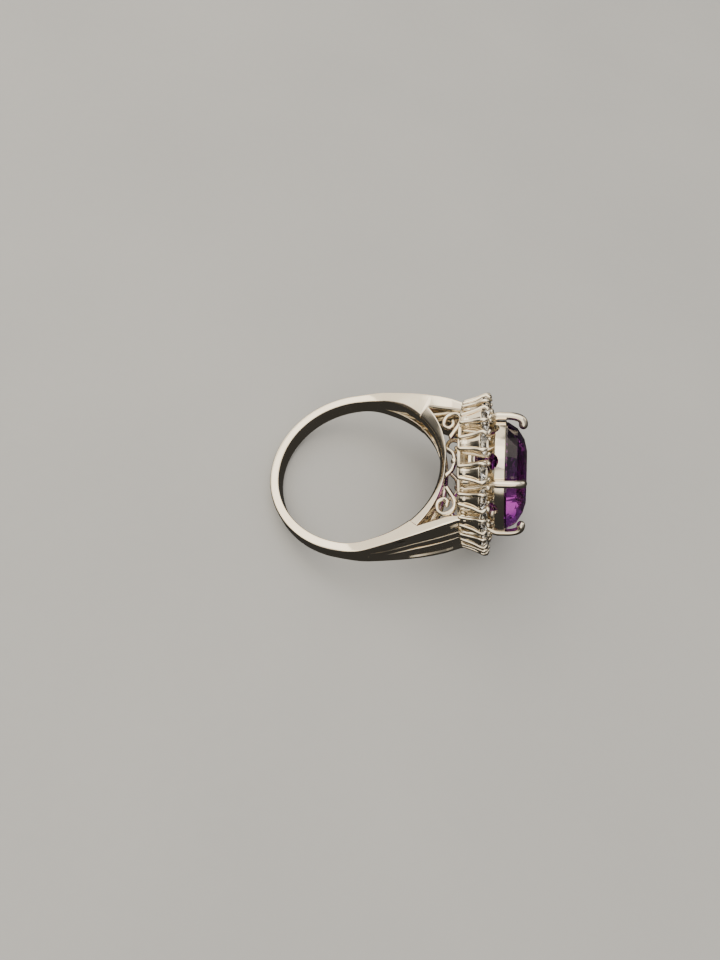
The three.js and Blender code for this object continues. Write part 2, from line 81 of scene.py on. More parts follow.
RAIL_THICKNESS = 0.6  # of a bridge rail, at its middle
RAIL_HALF = 2.15  # from the ring's middle plane to a rail's outer side
RAIL_SPLAY = 0.6  # by which that side leans inwards to the finger hole
RAIL_SWELL = 1.5  # how soon a rail widens on its way to the fork
RAIL_INSIDE = 0.38  # place of its inner side, as a share of its outer side's

FRAME_BASE_Z = 10.9
FRAME_TOP_Z = 11.22
HALO_OVAL = (6.5, 7.85)  # that the small settings stand on
HALO_COUNT = 18
HALO_LEAN = 9  # each small setting leans outwards
HALO_BASE_Z = FRAME_TOP_Z + 0.12
SMALL_RADIUS = 1.02
SMALL_GIRDLE_Z = 2.0  # above the foot of its setting

STONE_OVAL = (5.15, 6.15)
COLLET_BASE_Z = 12.05
COLLET_RIM_Z = 14.3  # it widens up to here, and its rim stands upright
COLLET_TOP_Z = 15.26
CLAW_AZIMUTH = 52.6


# ---- Shape tools: a shape is (points, faces) in the ring's frame ----

def lerp(a, b, t):
    return a + (b - a) * t


def smoothstep(x, low, high):
    t = min(max((x - low) / (high - low), 0), 1)
    return t * t * (3 - 2 * t)


def on_circle(radius, angle, y=0.0):
    """A point of the finger circle's plane, at an angle in degrees from +Z."""
    a = math.radians(angle)
    return Vector((radius * math.sin(a), y, radius * math.cos(a)))


def bezier(points, t):
    a, b, c, d = points
    s = 1 - t
    return a * s**3 + b * 3 * s * s * t + c * 3 * s * t * t + d * t**3


def spline(points, count):
    """Evenly spaced points on a smooth curve through the given ones."""
    dense = []
    last = len(points) - 1
    for i in range(last):
        before, here, there, after = (points[min(max(i + k, 0), last)] for k in (-1, 0, 1, 2))
        for k in range(24):
            t = k / 24
            dense.append(
                0.5 * (2 * here + (there - before) * t
                       + (2 * before - 5 * here + 4 * there - after) * t**2
                       + (3 * here - before - 3 * there + after) * t**3)
            )
    dense.append(points[-1])
    return even(dense, count)


def even(dense, count):
    """count + 1 points spaced evenly along a fine polyline."""
    reach = [0.0]
    for a, b in zip(dense, dense[1:]):
        reach.append(reach[-1] + (b - a).length)
    result, k = [], 0
    for i in range(count + 1):
        wanted = reach[-1] * i / count
        while k < len(dense) - 2 and reach[k + 1] < wanted:
            k += 1
        share = (wanted - reach[k]) / max(reach[k + 1] - reach[k], 1e-9)
        result.append(dense[k].lerp(dense[k + 1], min(share, 1)))
    return result


def loft(rings, looped=False):
    """Joins rings of points into one closed shape, with n-gon ends unless it is looped."""
    n = len(rings[0])
    faces = []
    for i in range(len(rings) if looped else len(rings) - 1):
        a, b = i * n, (i + 1) % len(rings) * n
        faces += [(a + j, a + (j + 1) % n, b + (j + 1) % n, b + j) for j in range(n)]
    if not looped:
        faces += [tuple(range(n)), tuple(range((len(rings) - 1) * n, len(rings) * n))]
    return [p for ring in rings for p in ring], faces


# The rounding of a corner takes up at most this share of each edge that meets there.
MOST_OF_EDGE = 0.45


def rounded(corners, radius, steps=4):
    """A closed outline of 2-D corners with each one rounded by that radius, or by its own."""
    outline = []
    count = len(corners)
    radii = radius if isinstance(radius, (list, tuple)) else [radius] * count
    for i, corner in enumerate(corners):
        here = Vector(corner)
        before, after = Vector(corners[i - 1]) - here, Vector(corners[(i + 1) % count]) - here
        reach = min(radii[i], before.length * MOST_OF_EDGE, after.length * MOST_OF_EDGE)
        if not radii[i]:
            outline.append(here)
            continue
        start, end = here + before.normalized() * reach, here + after.normalized() * reach
        for k in range(steps + 1):
            t = k / steps
            outline.append(start * (1 - t) ** 2 + here * 2 * t * (1 - t) + end * t * t)
    return outline


def wire(path, radii, sideways, sides):
    """A round wire along a path, with ends rounded like a bead."""
    stations = list(zip(path, radii))
    for end, toward in ((0, 1), (-1, -2)):
        at, radius = stations[end]
        out = (at - stations[toward][0]).normalized()
        cap = [(at + out * radius * math.sin(a), radius * math.cos(a))
               for a in (math.radians(d) for d in (20, 40, 58, 74, 86))]
        stations = cap[::-1] + stations if end == 0 else stations + cap
    rings = []
    last = len(stations) - 1
    for i, (at, radius) in enumerate(stations):
        along = (stations[min(i + 1, last)][0] - stations[max(i - 1, 0)][0]).normalized()
        across = (sideways - along * sideways.dot(along)).normalized()
        up = along.cross(across)
        rings.append([
            at + (across * math.cos(t) + up * math.sin(t)) * radius
            for t in (2 * math.pi * j / sides for j in range(sides))
        ])
    return loft(rings)


def hoop(semi_x, semi_y, outline, steps=144):
    """An oval hoop. The outline lists (outwards, z) points round its section."""
    rings = []
    for i in range(steps):
        t = 2 * math.pi * i / steps
        foot = Vector((semi_x * math.cos(t), semi_y * math.sin(t), 0))
        out = Vector((math.cos(t) / semi_x, math.sin(t) / semi_y, 0)).normalized()
        rings.append([foot + out * p[0] + Vector((0, 0, p[1])) for p in outline])
    return loft(rings, looped=True)


def moved(shape, matrix):
    return [matrix @ Vector(p) for p in shape[0]], shape[1]


def joined(shapes):
    points, faces = [], []
    for more_points, more_faces in shapes:
        shift = len(points)
        points += more_points
        faces += [tuple(i + shift for i in face) for face in more_faces]
    return points, faces


def mirrored(shape, x=1, y=1):
    return moved(shape, Matrix.Diagonal((x, y, 1, 1)))


def to_mesh(shape, name):
    mesh = bpy.data.meshes.new(name)
    mesh.from_pydata([tuple(p) for p in shape[0]], [], shape[1])
    bm = bmesh.new()
    bm.from_mesh(mesh)
    bmesh.ops.recalc_face_normals(bm, faces=bm.faces)
    bm.to_mesh(mesh)
    bm.free()
    return mesh


def from_object(obj):
    """The shape of an object with its modifiers applied. The object is then removed."""
    evaluated = obj.evaluated_get(bpy.context.evaluated_depsgraph_get())
    mesh = evaluated.to_mesh()
    shape = ([v.co.copy() for v in mesh.vertices], [tuple(p.vertices) for p in mesh.polygons])
    evaluated.to_mesh_clear()
    bpy.data.objects.remove(obj)
    return shape


def scratch(shape):
    obj = bpy.data.objects.new("scratch", to_mesh(shape, "scratch"))
    bpy.context.scene.collection.objects.link(obj)
    return obj


def carved(shape, cutters):
    """The shape less each of the cutters."""
    obj = scratch(shape)
    tools = [scratch(cutter) for cutter in cutters]
    for tool in tools:
        cut = obj.modifiers.new("cut", "BOOLEAN")
        cut.operation = "DIFFERENCE"
        cut.solver = "EXACT"
        cut.object = tool
    result = from_object(obj)
    for tool in tools:
        bpy.data.objects.remove(tool)
    return result


SHARP_FROM = 38  # degrees between two faces, from where their edge is shaded sharp


def piece(name, shape, material, nodes, smooth=True):
    """A visible piece that stands for CAD nodes. Its shape is in the ring's frame."""
    mesh = to_mesh(moved(shape, TO_ROW), name)
    mesh.materials.append(material)
    if smooth:
        mesh.shade_smooth()
        mesh.set_sharp_from_angle(angle=math.radians(SHARP_FROM))
    obj = bpy.data.objects.new(name, mesh)
    bpy.context.scene.collection.objects.link(obj)
    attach(obj, "root")
    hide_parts(*nodes)


# ---- Materials ----

class Nodes:
    """A new node material, with short calls to add nodes and join them."""

    def __init__(self, name):
        self.material = bpy.data.materials.new(name)
        self.material.use_nodes = True
        self.tree = self.material.node_tree
        self.shader = self.tree.nodes["Principled BSDF"]
        self.place = self.add("ShaderNodeTexCoord").outputs["Object"]

    def add(self, kind, **settings):
        node = self.tree.nodes.new(kind)
        for key, value in settings.items():
            setattr(node, key, value)
        return node

    def join(self, source, target):
        self.tree.links.new(source, target)

    def noise(self, scale, detail=3.0, stretch=None):
        noise = self.add("ShaderNodeTexNoise")
        noise.inputs["Scale"].default_value = scale
        noise.inputs["Detail"].default_value = detail
        source = self.place
        if stretch:
            mapping = self.add("ShaderNodeMapping")
            mapping.inputs["Scale"].default_value = stretch
            self.join(self.place, mapping.inputs["Vector"])
            source = mapping.outputs["Vector"]
        self.join(source, noise.inputs["Vector"])
        return noise.outputs["Fac"]

    def remap(self, source, low, high, to_low, to_high):
        node = self.add("ShaderNodeMapRange", clamp=True)
        for key, value in zip(("From Min", "From Max", "To Min", "To Max"), (low, high, to_low, to_high)):
            node.inputs[key].default_value = value
        self.join(source, node.inputs["Value"])
        return node.outputs["Result"]

    def blend(self, factor, first, second):
        node = self.add("ShaderNodeMix", data_type="RGBA")
        node.inputs["A"].default_value = (*first, 1)
        node.inputs["B"].default_value = (*second, 1)
        self.join(factor, node.inputs["Factor"])
        return node.outputs["Result"]

    def bump(self, height, strength, distance):
        node = self.add("ShaderNodeBump")
        node.inputs["Strength"].default_value = strength
        node.inputs["Distance"].default_value = distance
        self.join(height, node.inputs["Height"])
        self.join(node.outputs["Normal"], self.shader.inputs["Normal"])

    def set(self, **values):
        for key, value in values.items():
            self.shader.inputs[key.replace("_", " ")].default_value = value


def polished_silver(name, bright, warm, low, high, grain):
    """Polished silver with a faint tarnish, uneven polish and hairline scratches."""
    m = Nodes(name)
    tone = m.remap(m.noise(260, 4), 0.3, 0.7, 0, 1)
    m.join(m.blend(tone, warm, bright), m.shader.inputs["Base Color"])
    m.join(m.remap(m.noise(700, 5), 0.3, 0.7, low, high), m.shader.inputs["Roughness"])
    m.bump(m.noise(5200, 3, stretch=(1.0, 0.22, 0.5)), grain, 0.00001)
    m.set(Metallic=1.0)
    return m.material


def gem_material(name, ior, tint, deep, roughness, glow_spot=None):
    """Clear cut stone, with faint colour zones and softly worn facets. The last argument, if given, is
    (place, reach, tint) of a painted glow: a paler spot painted into its colour where light glows through
    it."""
    m = Nodes(name)
    zones = m.remap(m.noise(190, 2, stretch=(1, 1, 2.4)), 0.35, 0.65, 0, 1)
    colour = m.blend(zones, deep, tint)
    # Painted glow: the colour turns paler near a point, standing in for light glowing through the stone.
    if glow_spot:
        place, reach, glow_tint = glow_spot
        away = m.add("ShaderNodeVectorMath", operation="DISTANCE")
        away.inputs[1].default_value = TO_ROW @ Vector(place)
        m.join(m.place, away.inputs[0])
        near = m.remap(away.outputs["Value"], reach * MM, 0.4 * reach * MM, 0, 1)
        both = m.blend(near, tint, glow_tint)
        m.join(colour, both.node.inputs["A"])
        colour = both
    m.join(colour, m.shader.inputs["Base Color"])
    m.join(m.remap(m.noise(1500, 3), 0.3, 0.7, roughness * 0.4, roughness), m.shader.inputs["Roughness"])
    m.set(IOR=ior, Transmission_Weight=1.0, Metallic=0.0)
    return m.material


SILVER = polished_silver("polished_silver", (0.93, 0.86, 0.73), (0.86, 0.77, 0.62), 0.07, 0.17, 0.12)
CAST_SILVER = polished_silver("cast_silver", (0.84, 0.77, 0.64), (0.72, 0.64, 0.51), 0.14, 0.30, 0.3)
# Painted glow: a paler purple spot painted into the stone beside one claw, standing in for light glowing
# through it, not a colour zone of the amethyst.
PAINTED_GLOW_SPOT = ((-4.3, 2.6, 16.0), 2.2, (0.85, 0.22, 0.80))
AMETHYST = gem_material("amethyst", 1.55, (0.27, 0.035, 0.38), (0.12, 0.010, 0.18), 0.03, PAINTED_GLOW_SPOT)
WHITE_STONE = gem_material("white_stone", 2.15, (0.99, 0.99, 1.0), (0.95, 0.96, 0.98), 0.02)


# ---- Band ----

BORE_EDGE = 0.14  # how much the long edges are rounded, at the finger
OUTER_EDGES = (0.2, 0.13)  # and outside, at the back and at the split


def band_ring(angle):
    """A section of the band. to_split runs from 0 where the band starts to widen to 1 at the split."""
    to_split = max((WIDENING_ANGLE - min(angle, 360 - angle)) / (WIDENING_ANGLE - SPLIT_ANGLE), 0)
    outer = FINGER_RADIUS + BAND_THICKNESS + SPLIT_THICKENING * smoothstep(to_split, 0, 1)
    half = lerp(BAND_HALF, SPLIT_HALF, to_split**2)
    inner_half = half - SIDE_SLOPES[0] * (outer - FINGER_RADIUS) * to_split
    corners = [(FINGER_RADIUS, -inner_half), (outer, -half), (outer, half), (FINGER_RADIUS, inner_half)]
    outer_edge = lerp(*OUTER_EDGES, min(to_split, 1))
    radii = [BORE_EDGE, outer_edge, outer_edge, BORE_EDGE]
    return [on_circle(r, angle, y) for r, y in rounded(corners, radii)]


def build_band():
    steps = 188
    rings = [band_ring(lerp(SPLIT_ANGLE, 360 - SPLIT_ANGLE, i / steps)) for i in range(steps + 1)]
    piece("shank_band", loft(rings), SILVER, ["shank"])


# ---- Shoulders ----

def shoulder_curve(start_radius, end_x, reach, lean):
    """One face of a shoulder, seen along the finger, from the split up to the gallery frame."""
    start = on_circle(start_radius, SPLIT_ANGLE)
    leaving = on_circle(1, SPLIT_ANGLE - 90)
    end = Vector((end_x, 0, SHOULDER_TOP_Z))
    arriving = Vector((-lean, 0, 1)).normalized()
    return [start, start + leaving * reach, end - arriving * reach, end]


SPLIT_RADIUS = FINGER_RADIUS + BAND_THICKNESS + SPLIT_THICKENING
OUTER_FACE = shoulder_curve(SPLIT_RADIUS, SHOULDER_OUTER_X, 3, OUTER_LEAN)
INNER_FACE = shoulder_curve(FINGER_RADIUS, SHOULDER_INNER_X, 3.2, INNER_LEAN)
SPLIT_RISE = math.cos(math.radians(SPLIT_ANGLE))  # height of a point at the split, per mm of radius
FORK_Z = 6.5  # by where the side faces have their full slope


def shoulder_half(z, depth):
    """Half the width of the three strands together, at a height and a depth below their outer face."""
    start = (SPLIT_RADIUS - depth) * SPLIT_RISE
    t = min(max((z - start) / (FLARE_END_Z - start), 0), 1)
    flare = lerp(t, math.sin(t * math.pi / 2), FLARE_EARLY)
    slope = lerp(*SIDE_SLOPES, smoothstep(z, start, FORK_Z))
    return lerp(SPLIT_HALF, SHOULDER_HALF, flare) - slope * depth


def strand_y(half, row, across, gap=STRAND_GROOVE):
    """Place along the finger of a point of a strand. row is 1 front, 0 middle, -1 back, and across runs
    from -0.5 to 0.5 over its width. A gap under STRAND_GROOVE brings it nearer to its neighbour."""
    division = half * MIDDLE_SHARE
    width = 2 * division - STRAND_GROOVE if row == 0 else half - division - STRAND_GROOVE / 2
    return row * (half - width / 2) + across * (width + STRAND_GROOVE - gap)


# Across an outer strand, from its outboard edge inwards: a raised rim, a step down, and a flat.
RIM_STEP = 0.14
MIDDLE_STEP = 0.08  # and one more step down to the middle strand
RIM_SHARES = (0.24, 0.19, -0.455)
RELIEF_Z = (3.6, 7.0)  # over which the steps and the grooves grow, outside
OPENING_Z = (3.0, 4.8)  # over which the grooves open, at the finger
STRAND_BORE_EDGES, BORE_EDGE_Z = (BORE_EDGE, 0.34), (2.0, 4.5)
STRAND_OUTER_EDGES, OUTER_EDGE_Z = (0.26, 0.5), (3.0, 9.0)
GROOVE_EDGES = (0.08, 0.05)  # rounding of a groove's edges, at the finger and outside
SHARP = 0.001
# How far an outer strand's top end leans inwards, towards the finger hole.
OUTER_STRAND_SHIFT = 0.13


def strand_ring(u, row, inner):
    """A section of a strand at a share of its length, from its outer face to a point inside."""
    outer = bezier(OUTER_FACE, u)
    inwards = inner - outer
    depth = inwards.length
    relief = smoothstep(outer.z, *RELIEF_Z)
    opening = smoothstep(outer.z, *OPENING_Z)
    bore_edge = lerp(*STRAND_BORE_EDGES, smoothstep(outer.z, *BORE_EDGE_Z))
    outer_edge = lerp(*STRAND_OUTER_EDGES, smoothstep(outer.z, *OUTER_EDGE_Z))

    def outboard(side):
        return row * side > 0

    def drop(across):
        """How far the outer face lies below the rim there."""
        if row == 0:
            return (RIM_STEP + MIDDLE_STEP) * relief
        return 0 if row * across > RIM_SHARES[1] + 0.01 else RIM_STEP * relief

    def point(across, below):
        gap = STRAND_GROOVE
        if not outboard(across):
            gap *= lerp(relief, opening, below / depth)
        half = shoulder_half(outer.z + inwards.z * below / depth, below)
        return strand_y(half, row, across, gap), below

    crown = sorted((share * (row or 1) for share in RIM_SHARES), reverse=True) if row else ()
    corners = [point(across, drop(across)) for across in (0.5, *crown, -0.5)]
    corners = [point(-0.5, depth), point(0.5, depth), *corners]
    groove_bore_edge = lerp(SHARP, GROOVE_EDGES[0], opening)
    groove_outer_edge = lerp(SHARP, GROOVE_EDGES[1], relief)
    inner_radii = [bore_edge if outboard(side) else groove_bore_edge for side in (-1, 1)]
    outer_radii = [outer_edge if outboard(side) else groove_outer_edge for side in (1, -1)]
    radii = [*inner_radii, outer_radii[0], *[0] * len(crown), outer_radii[1]]
    shift = OUTER_STRAND_SHIFT * abs(row) * u * u
    return [
        Vector((outer.x + inwards.x * below / depth - shift, y, outer.z + inwards.z * below / depth))
        for y, below in rounded(corners, radii)
    ]


def lapped(rings, reach):
    """The rings with one more, carried on past the last of them."""
    onward = (rings[-1][0] - rings[-2][0]).normalized() * reach
    return rings + [[p + onward for p in rings[-1]]]


FORK_GAP = 0.008  # share of a strand's length over which it narrows to its upper branch
STRAND_LAP = 0.3  # how far it runs on into the gallery frame


def strand(row):
    """A strand's full section reaches the finger up to the fork. Above it only the branch goes on."""
    steps = 72
    shares = [i / steps for i in range(steps + 1)]

    def full(u):
        return strand_ring(u, row, bezier(INNER_FACE, u).normalized() * FINGER_RADIUS)

    def branch(u):
        return strand_ring(u, row, bezier(INNER_FACE, u))

    if row == 0:
        return loft(lapped([branch(u) for u in shares], STRAND_LAP))
    below = [u for u in shares if u < FORK_AT - FORK_GAP / 2] + [FORK_AT]
    above = [FORK_AT + FORK_GAP] + [u for u in shares if u > FORK_AT + 2 * FORK_GAP]
    return loft(lapped([full(u) for u in below] + [branch(u) for u in above], STRAND_LAP))


def build_shoulders():
    for row, where in ((1, "front"), (0, "middle"), (-1, "back")):
        shape = strand(row)
        for side, sign in (("right", 1), ("left", -1)):
            node = f"shoulder_{side}_{where}"
            piece(f"strand_{side}_{where}", mirrored(shape, x=sign), SILVER, [node])


# ---- Bridge rails ----

RAIL_LAP = 0.05  # how far a rail's ends reach into the strands
RAIL_RADII = [0.1, 0.1, 0.12, 0.4]  # rounding of its inner edges, and of its outer side's two


def angle_of(p):
    return math.degrees(math.atan2(p.x, p.z))


def bridge_rail():
    """The front rail, from one fork round under the head to the other."""
    fork_outer = bezier(OUTER_FACE, FORK_AT)
    crotch = bezier(INNER_FACE, FORK_AT + FORK_GAP)
    at_bore = bezier(INNER_FACE, FORK_AT).normalized() * FINGER_RADIUS
    into = math.degrees(RAIL_LAP / FINGER_RADIUS)
    inner_end = angle_of(at_bore) + into
    outer_end = angle_of(crotch) + into
    inner_half = shoulder_half(at_bore.z, (at_bore - fork_outer).length)
    outer_half = shoulder_half(crotch.z, (crotch - fork_outer).length)
    steps = 96
    rings = []
    for i in range(steps + 1):
        along = lerp(-1, 1, i / steps)
        to_end = abs(along)
        widening = to_end**2 * (3 - 2 * to_end + RAIL_SWELL * (1 - to_end))
        outer = lerp(FINGER_RADIUS + RAIL_THICKNESS, crotch.length - 0.01, to_end**1.3)
        high = lerp(RAIL_HALF, outer_half, widening)
        low = high - lerp(RAIL_SPLAY, outer_half - inner_half, to_end**6)
        corners = [
            (FINGER_RADIUS, RAIL_INSIDE * low),
            (outer, RAIL_INSIDE * high),
            (outer, high),
            (FINGER_RADIUS, low),
        ]
        ring = []
        for r, y in rounded(corners, RAIL_RADII):
            share = (r - FINGER_RADIUS) / (outer - FINGER_RADIUS)
            ring.append(on_circle(r, lerp(inner_end, outer_end, share) * along, y))
        rings.append(ring)
    return loft(rings)


def build_bridge():
    rail = bridge_rail()
    piece("rail_front", rail, SILVER, ["bridge_rail_front"])
    piece("rail_back", mirrored(rail, y=-1), SILVER, ["bridge_rail_back"])


# ---- Gallery ----

# The wires lie in a plane that leans outwards along the finger as it rises: (x, z) points of each.
WIRE_RADIUS = 0.26
SCROLL_LINE = [
    (3.05, 9.68), (3.65, 10.05), (4.3, 10.42), (4.98, 10.6), (5.55, 10.4), (5.84, 9.92), (5.84, 9.36),
    (5.5, 8.98), (4.95, 8.82), (4.42, 8.95), (4.2, 9.42), (4.5, 9.82), (4.95, 9.78),
]
ARCH_LINE = [
    (-1.5, 9.52), (-1.05, 9.98), (-0.45, 10.2), (0, 10.25), (0.45, 10.2), (1.05, 9.98), (1.5, 9.52),
]
ARCH_WIRE_RADIUS = 0.22
BEAD_RADIUS = 0.4
GALLERY_LEAN = 0.3
GALLERY_FOOT_Y, GALLERY_FOOT_Z = 2.25, 8.8
LEANING = Vector((0, 1, -GALLERY_LEAN))


def gallery_point(x, z):
    return Vector((x, GALLERY_FOOT_Y + GALLERY_LEAN * (z - GALLERY_FOOT_Z), z))


def scroll():
    count = 84
    path = spline([gallery_point(*p) for p in SCROLL_LINE], count)
    radii = [WIRE_RADIUS * lerp(1.05, 0.8, i / count) for i in range(count + 1)]
    return wire(path, radii, LEANING, sides=14)


def arch():
    count = 84
    path = spline([gallery_point(*p) for p in ARCH_LINE], count)
    radii = [max(ARCH_WIRE_RADIUS, math.sqrt(max(BEAD_RADIUS**2 - p.x**2, 0))) for p in path]
    return wire(path, radii, LEANING, sides=16)


def build_gallery():
    for where, y in (("front", 1), ("back", -1)):
        for side, x in (("right", 1), ("left", -1)):
            shape = mirrored(scroll(), x=x, y=y)
            piece(f"scroll_wire_{where}_{side}", shape, SILVER, [f"scroll_{where}_{side}"])
        piece(f"arch_wire_{where}", mirrored(arch(), y=y), SILVER, [f"arch_{where}"])


# ---- Gallery frame ----

OUTER_RAIL_WIDTH = 0.56
INNER_OVAL, INNER_RAIL_WIDTH = (4.6, 5.55), 1.1
SPOKES = 8
SPOKE_FOOT_OVAL = (4.9, 5.85)
SPOKE_HALF = 0.25
SPOKE_RECESS = 0.05  # below and above it, to the faces of the rails


def flat_hoop(semi_x, semi_y, width):
    half = width / 2
    corners = [(-half, FRAME_BASE_Z), (half, FRAME_BASE_Z), (half, FRAME_TOP_Z), (-half, FRAME_TOP_Z)]
    return hoop(semi_x, semi_y, rounded(corners, 0.08, 3))


def spoke(t):
    start = Vector((SPOKE_FOOT_OVAL[0] * math.cos(t), SPOKE_FOOT_OVAL[1] * math.sin(t), 0))
    end = Vector((HALO_OVAL[0] * math.cos(t), HALO_OVAL[1] * math.sin(t), 0))
    along = (end - start).normalized()
    side = Vector((-along.y, along.x, 0))
    low, high = FRAME_BASE_Z + SPOKE_RECESS, FRAME_TOP_Z - SPOKE_RECESS
    corners = [(-SPOKE_HALF, low), (SPOKE_HALF, low), (SPOKE_HALF, high), (-SPOKE_HALF, high)]
    outline = rounded(corners, 0.07, 3)
    return loft([[at + side * p[0] + Vector((0, 0, p[1])) for p in outline]
                 for at in (start, start.lerp(end, 0.5), end)])


def build_frame():
    rails = [flat_hoop(*HALO_OVAL, OUTER_RAIL_WIDTH), flat_hoop(*INNER_OVAL, INNER_RAIL_WIDTH)]
    spokes = [spoke(2 * math.pi * (i + 0.5) / SPOKES) for i in range(SPOKES)]
    shape = joined([*rails, *spokes])
    piece("gallery_plate", shape, CAST_SILVER, ["gallery_frame"])


# ---- Stones ----

def gem(semi_x, semi_y, tiers):
    """The convex hull of tiers of points: [share of the girdle, height, corners, turn]."""
    bm = bmesh.new()
    for share, z, corners, turn in tiers:
        for i in range(corners):
            t = 2 * math.pi * (i + turn) / corners
            bm.verts.new((semi_x * share * math.cos(t), semi_y * share * math.sin(t), z))
    hull = bmesh.ops.convex_hull(bm, input=bm.verts)
    unused = {v for v in hull["geom_interior"] + hull["geom_unused"] if isinstance(v, bmesh.types.BMVert)}
    bmesh.ops.delete(bm, geom=list(unused), context="VERTS")
    bmesh.ops.dissolve_limit(bm, angle_limit=math.radians(0.6), verts=bm.verts, edges=bm.edges)
    bm.verts.index_update()
    shape = [v.co.copy() for v in bm.verts], [tuple(v.index for v in f.verts) for f in bm.faces]
    bm.free()
    return shape


def centre_gem(gap=0.0):
    """The centre stone, or a copy grown by a gap to cut room for it."""
    grow = 1 + gap / STONE_OVAL[0]
    shape = gem(STONE_OVAL[0] * grow, STONE_OVAL[1] * grow, [
        (0.5, STONE_CROWN + gap, 12, 0), (0.7, 1.72 + gap, 12, 0.5), (0.89, 1.06 + gap, 24, 0),
        (1, 0.12, 48, 0), (1, -0.12, 48, 0),
        (0.8, -1.29, 24, 0), (0.42, -2.81, 12, 0.5), (0.04, -3.8 - gap, 4, 0),
    ])
    return moved(shape, Matrix.Translation((0, 0, STONE_GIRDLE_Z)))


def small_gem():
    g = SMALL_GIRDLE_Z
    return gem(SMALL_RADIUS, SMALL_RADIUS, [
        (0.56, g + 0.36, 8, 0), (0.8, g + 0.22, 8, 0.5), (1, g + 0.03, 32, 0),
        (1, g - 0.03, 32, 0), (0.46, g - 0.52, 8, 0.5), (0.03, g - 0.88, 4, 0),
    ])


# ---- Halo ----

def turned(profile, radius, steps=40):
    """A hoop turned on the setting's own axis."""
    rings = []
    outline = rounded(profile, radius, 3)
    for i in range(steps):
        t = 2 * math.pi * i / steps
        rings.append([Vector((p[0] * math.cos(t), p[0] * math.sin(t), p[1])) for p in outline])
    return loft(rings, looped=True)


def prong(stations, azimuth, count, sides):
    """A claw in the plane at an azimuth. Stations are (distance from the axis, height, radius)."""
    t = math.radians(azimuth)
    out = Vector((math.cos(t), math.sin(t), 0))
    path = spline([out * s[0] + Vector((0, 0, s[1])) for s in stations], count)
    sizes = spline([Vector((s[2], s[1], 0)) for s in stations], count)
    return wire(path, [p.x for p in sizes], Vector((-out.y, out.x, 0)), sides)


# Stations of a small prong: (distance from the setting's axis, height, radius).
SMALL_PRONG = [
    (0.76, -0.1, 0.2), (0.98, 1.1, 0.2), (1.23, 1.9, 0.21), (1.22, 2.22, 0.22), (1.03, 2.36, 0.19),
]
# Section of the cup between the prongs: (distance from its axis, height), and each corner's radius.
SMALL_CUP = [
    (0.14, -0.14), (0.64, -0.14), (0.72, 0.28), (0.64, 0.5), (0.8, 1.2),
    (1.1, 1.84), (1.0, 1.9), (0.56, 1.42), (0.14, 1.02),
]
SMALL_CUP_RADII = [0.04, 0.06, 0.16, 0.16, 0.3, 0.05, 0.05, 0.2, 0.05]


def small_setting():
    cup = turned(SMALL_CUP, SMALL_CUP_RADII)
    prongs = [prong(SMALL_PRONG, azimuth, 18, 10) for azimuth in (45, 135, 225, 315)]
    return joined([cup, *prongs])


def halo_feet():
    """Evenly spaced points round the halo's oval, from +X towards +Y."""
    fine = 1440
    loop = [Vector((HALO_OVAL[0] * math.cos(t), HALO_OVAL[1] * math.sin(t), 0))
            for t in (2 * math.pi * i / fine for i in range(fine + 1))]
    return even(loop, HALO_COUNT)[:HALO_COUNT]


def on_halo(foot):
    """Stands a small setting on the oval, its axis leaning outwards."""
    out = Vector((foot.x / HALO_OVAL[0]**2, foot.y / HALO_OVAL[1]**2, 0)).normalized()
    lean = math.radians(HALO_LEAN)
    axis = out * math.sin(lean) + Vector((0, 0, math.cos(lean)))
    side = Vector((-out.y, out.x, 0))
    turn = Matrix([side.cross(axis), side, axis]).transposed().to_4x4()
    return Matrix.Translation((foot.x, foot.y, HALO_BASE_Z)) @ turn


def build_halo():
    setting, stone = small_setting(), small_gem()
    for i, foot in enumerate(halo_feet()):
        at = on_halo(foot)
        number = f"{i + 1:02d}"
        piece(f"small_claws_{number}", moved(setting, at), SILVER, [f"halo_setting_{number}"])
        piece(f"brilliant_{number}", moved(stone, at), WHITE_STONE,
              [f"halo_stone_{number}"], smooth=False)


# ---- Centre ----

COLLET_SEMI_X = (3.95, 5.12)  # at its foot and at its rim
COLLET_LONGER = 0.98  # by which its other semi-axis is longer
SEAT_WALL, COLLET_WALL = 0.5, 0.45
SEAT_LAP = 0.02  # that the seat ring reaches into the frame and the collet
WINDOW_AZIMUTHS = (20, 70, 110, 160, 200, 250, 290, 340)
WINDOW_HALF = 0.82
WINDOW_SILL = COLLET_BASE_Z + 0.35
WINDOW_SPRING = COLLET_TOP_Z - 1.42  # where its round top starts
STONE_GAP = 0.02  # round the stone, in the collet and the claws


def collet_semi(z):
    share = min((z - FRAME_TOP_Z) / (COLLET_RIM_Z - FRAME_TOP_Z), 1)
    x = lerp(*COLLET_SEMI_X, share)
    return x, x + COLLET_LONGER


def collet_hoop(heights, wall):
    """A stretch of the collet's wall through the given heights."""
    semi_x, semi_y = collet_semi(heights[0])
    half = wall / 2

    def side(offset, z):
        return collet_semi(z)[0] - semi_x + offset, z

    corners = [side(-half, z) for z in reversed(heights)] + [side(half, z) for z in heights]
    return hoop(semi_x, semi_y, rounded(corners, 0.07, 3))


def window_cutter(azimuth):
    t = math.radians(azimuth)
    outline = [(-WINDOW_HALF, WINDOW_SILL), (WINDOW_HALF, WINDOW_SILL)]
    for a in (math.pi * k / 14 for k in range(15)):
        outline.append((WINDOW_HALF * math.cos(a), WINDOW_SPRING + WINDOW_HALF * math.sin(a)))
    semi_x, semi_y = collet_semi(13)
    foot = Vector((semi_x * math.cos(t), semi_y * math.sin(t), 0))
    out = Vector((math.cos(t) / semi_x, math.sin(t) / semi_y, 0)).normalized()
    side = Vector((-out.y, out.x, 0))
    return loft([[foot + out * d + side * x + Vector((0, 0, z)) for x, z in outline] for d in (-1.5, 1.5)])


